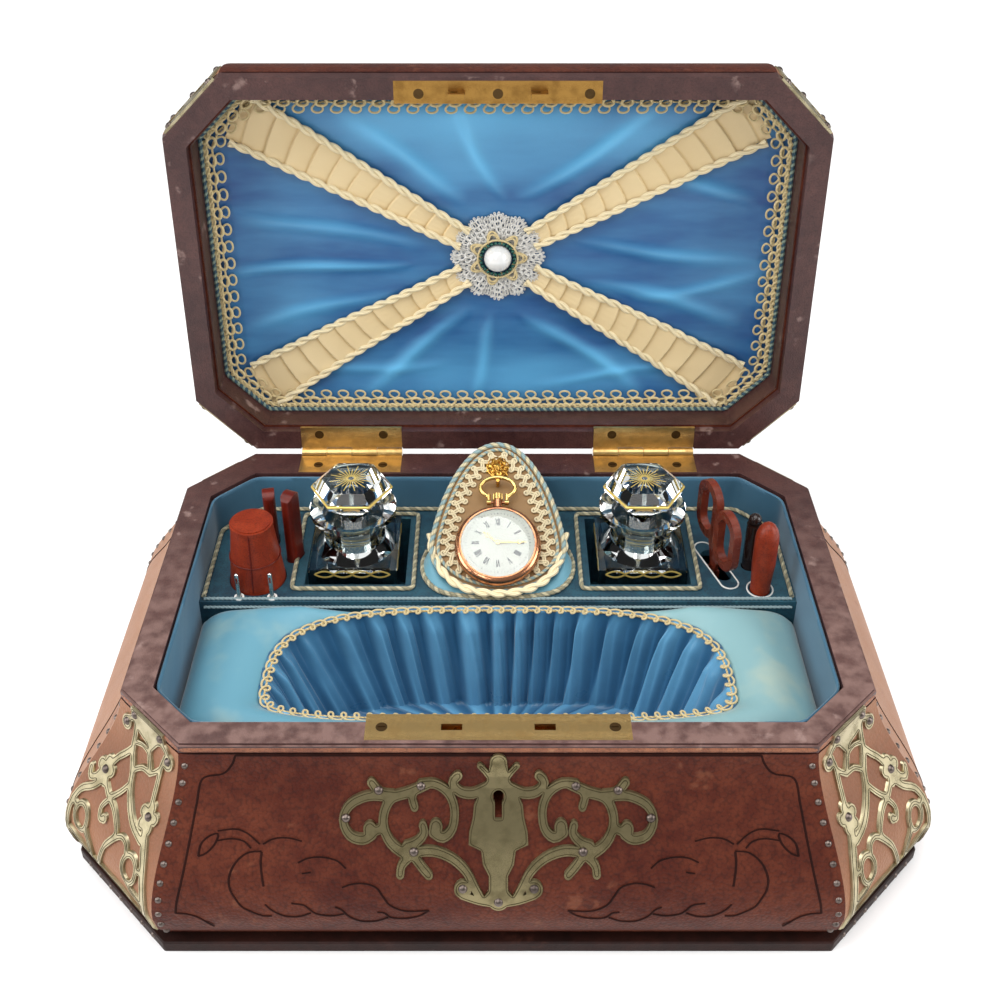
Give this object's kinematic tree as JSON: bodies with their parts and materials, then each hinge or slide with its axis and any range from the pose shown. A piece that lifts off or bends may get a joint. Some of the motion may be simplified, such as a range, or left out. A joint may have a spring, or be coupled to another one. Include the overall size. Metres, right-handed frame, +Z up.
{
  "type": "sewing box",
  "caption": "Eight-sided leather sewing box with bulging walls, pierced brass mounts, a silk-lined hinged lid, scent bottles, sewing tools and a pocket watch on a stand.",
  "frame": {"origin": "centre of the plinth's underside", "axes": "+X to the viewer's right, +Y to the back where the hinges are, +Z up"},
  "size_m": [0.317, 0.2393, 0.2441],
  "materials": {
    "leather": "satin red-brown leather with tooled lines",
    "rim_leather": "dark maroon leather",
    "plinth_leather": "dark brown leather over wood",
    "pale_brass": "pale pierced brass, engraved",
    "gilt_brass": "polished gilt brass",
    "steel_nails": "dark domed nail heads",
    "steel": "polished steel",
    "blue_silk": "satin silk",
    "pale_silk": "faded silk over wadding",
    "tray_leather": "teal leather-cloth",
    "card": "stiff card board",
    "cream_braid": "cream braid and ribbon",
    "lace": "white lace, pearl centre",
    "crystal_glass": "clear cut glass",
    "red_leather": "orange-red leather",
    "dark_red_leather": "dark red leather",
    "horn": "dark horn",
    "rose_gold": "rose gilt case",
    "enamel": "white enamel dial"
  },
  "bodies": {
    "box": {"base_plinth": "plinth_leather", "body_carcass": "leather", "body_rim": "rim_leather", "lining_walls": "blue_silk", "floor_pad": "blue_silk", "front_corner_mounts": "pale_brass", "rear_corner_mounts": "pale_brass", "dome_studs": "steel_nails", "escutcheon": "pale_brass", "lock_case": "gilt_brass", "lock_plate": "gilt_brass", "body_screws": "gilt_brass", "left_hinge_lower_leaf": "gilt_brass", "right_hinge_lower_leaf": "gilt_brass", "hinge_pins": "gilt_brass", "tray_board": "tray_leather", "tool_sockets": "card", "bottle_wells": "tray_leather", "front_deck": "card", "well_silk": "blue_silk", "pincushion_left": "pale_silk", "pincushion_right": "pale_silk", "watch_stand": "cream_braid", "watch_cradle": "cream_braid", "watch_hook": "gilt_brass", "eyelets": "lace"},
    "bolt": {"lock_bolt": "gilt_brass"},
    "lid": {"lid_shell": "leather", "lid_rim": "rim_leather", "lid_pad": "blue_silk", "lid_corner_mounts": "pale_brass", "lid_studs": "steel_nails", "striker_plate": "gilt_brass", "lid_screws": "gilt_brass", "left_hinge_upper_leaf": "gilt_brass", "right_hinge_upper_leaf": "gilt_brass", "lid_straps": "cream_braid", "rosette": "lace"},
    "left_bottle": {"bottle_left": "crystal_glass"},
    "right_bottle": {"bottle_right": "crystal_glass"},
    "left_stopper": {"stopper_left": "crystal_glass"},
    "right_stopper": {"stopper_right": "crystal_glass"},
    "thimble_holder": {"thimble_case": "red_leather", "thimble": "steel"},
    "rear_etui": {"etui_rear": "dark_red_leather"},
    "front_etui": {"etui_front": "dark_red_leather"},
    "needles": {"needle_case": "red_leather"},
    "scissors": {"scissors_rear_half": "dark_red_leather", "scissors_screw": "steel"},
    "scissors_blade": {"scissors_front_half": "dark_red_leather"},
    "awl": {"stiletto": "horn"},
    "left_bodkin": {"bodkin_left": "steel"},
    "right_bodkin": {"bodkin_right": "steel"},
    "watch": {"watch_case": "rose_gold", "watch_crystal": "crystal_glass", "watch_dial": "enamel"},
    "hour": {"hour_hand": "gilt_brass"},
    "minute": {"minute_hand": "gilt_brass"},
    "crown": {"watch_crown": "gilt_brass"},
    "bow": {"watch_bow": "gilt_brass"}
  },
  "joints": [
    {"name": "lid_hinge", "type": "hinge", "parent": "box", "child": "lid", "pos_m": [0, 0.0839, 0.07815], "axis": [-1, 0, 0], "range_deg": [-94, 0]},
    {"name": "bolt_slide", "type": "slide", "parent": "box", "child": "bolt", "axis": [1, 0, 0], "range_m": [0, 0.0034]},
    {"name": "left_bottle_lift", "type": "slide", "parent": "box", "child": "left_bottle", "axis": [0, 0, 1], "range_m": [0, 0.06]},
    {"name": "right_bottle_lift", "type": "slide", "parent": "box", "child": "right_bottle", "axis": [0, 0, 1], "range_m": [0, 0.06]},
    {"name": "left_stopper_pull", "type": "slide", "parent": "left_bottle", "child": "left_stopper", "axis": [0, 0, 1], "range_m": [0, 0.024]},
    {"name": "right_stopper_pull", "type": "slide", "parent": "right_bottle", "child": "right_stopper", "axis": [0, 0, 1], "range_m": [0, 0.024]},
    {"name": "thimble_case_lift", "type": "slide", "parent": "box", "child": "thimble_holder", "axis": [0, 0, 1], "range_m": [0, 0.045]},
    {"name": "rear_etui_lift", "type": "slide", "parent": "box", "child": "rear_etui", "axis": [0, 0, 1], "range_m": [0, 0.05]},
    {"name": "front_etui_lift", "type": "slide", "parent": "box", "child": "front_etui", "axis": [0, 0, 1], "range_m": [0, 0.05]},
    {"name": "needle_case_lift", "type": "slide", "parent": "box", "child": "needles", "axis": [0, 0, 1], "range_m": [0, 0.05]},
    {"name": "scissors_lift", "type": "slide", "parent": "box", "child": "scissors", "axis": [0, 0, 1], "range_m": [0, 0.065]},
    {"name": "scissors_pivot", "type": "hinge", "parent": "scissors", "child": "scissors_blade", "pos_m": [0.0895, 0.031, 0.054], "axis": [0.9455, 0.3256, 0], "range_deg": [0, 20]},
    {"name": "stiletto_lift", "type": "slide", "parent": "box", "child": "awl", "axis": [0, 0, 1], "range_m": [0, 0.045]},
    {"name": "left_bodkin_lift", "type": "slide", "parent": "box", "child": "left_bodkin", "axis": [0, 0, 1], "range_m": [0, 0.036]},
    {"name": "right_bodkin_lift", "type": "slide", "parent": "box", "child": "right_bodkin", "axis": [0, 0, 1], "range_m": [0, 0.036]},
    {"name": "watch_slide", "type": "slide", "parent": "box", "child": "watch", "axis": [0, -0.4384, 0.8988], "range_m": [0, 0.03]},
    {"name": "minute_spin", "type": "hinge", "parent": "watch", "child": "minute", "pos_m": [0, 0.02345, 0.07678], "axis": [0, 0.4384, -0.8988], "continuous": true},
    {"name": "hour_spin", "type": "hinge", "parent": "watch", "child": "hour", "pos_m": [0, 0.02345, 0.07678], "axis": [0, 0.4384, -0.8988], "continuous": true},
    {"name": "crown_spin", "type": "hinge", "parent": "watch", "child": "crown", "pos_m": [0, 0.04319, 0.08285], "axis": [0, 0.8988, 0.4384], "continuous": true},
    {"name": "bow_swing", "type": "hinge", "parent": "watch", "child": "bow", "pos_m": [0, 0.04229, 0.08241], "axis": [1, 0, 0], "range_deg": [0, 80]}
  ],
  "couplings": [
    {"joint": "hour_spin", "follows": "minute_spin", "ratio": 0.083333}
  ]
}
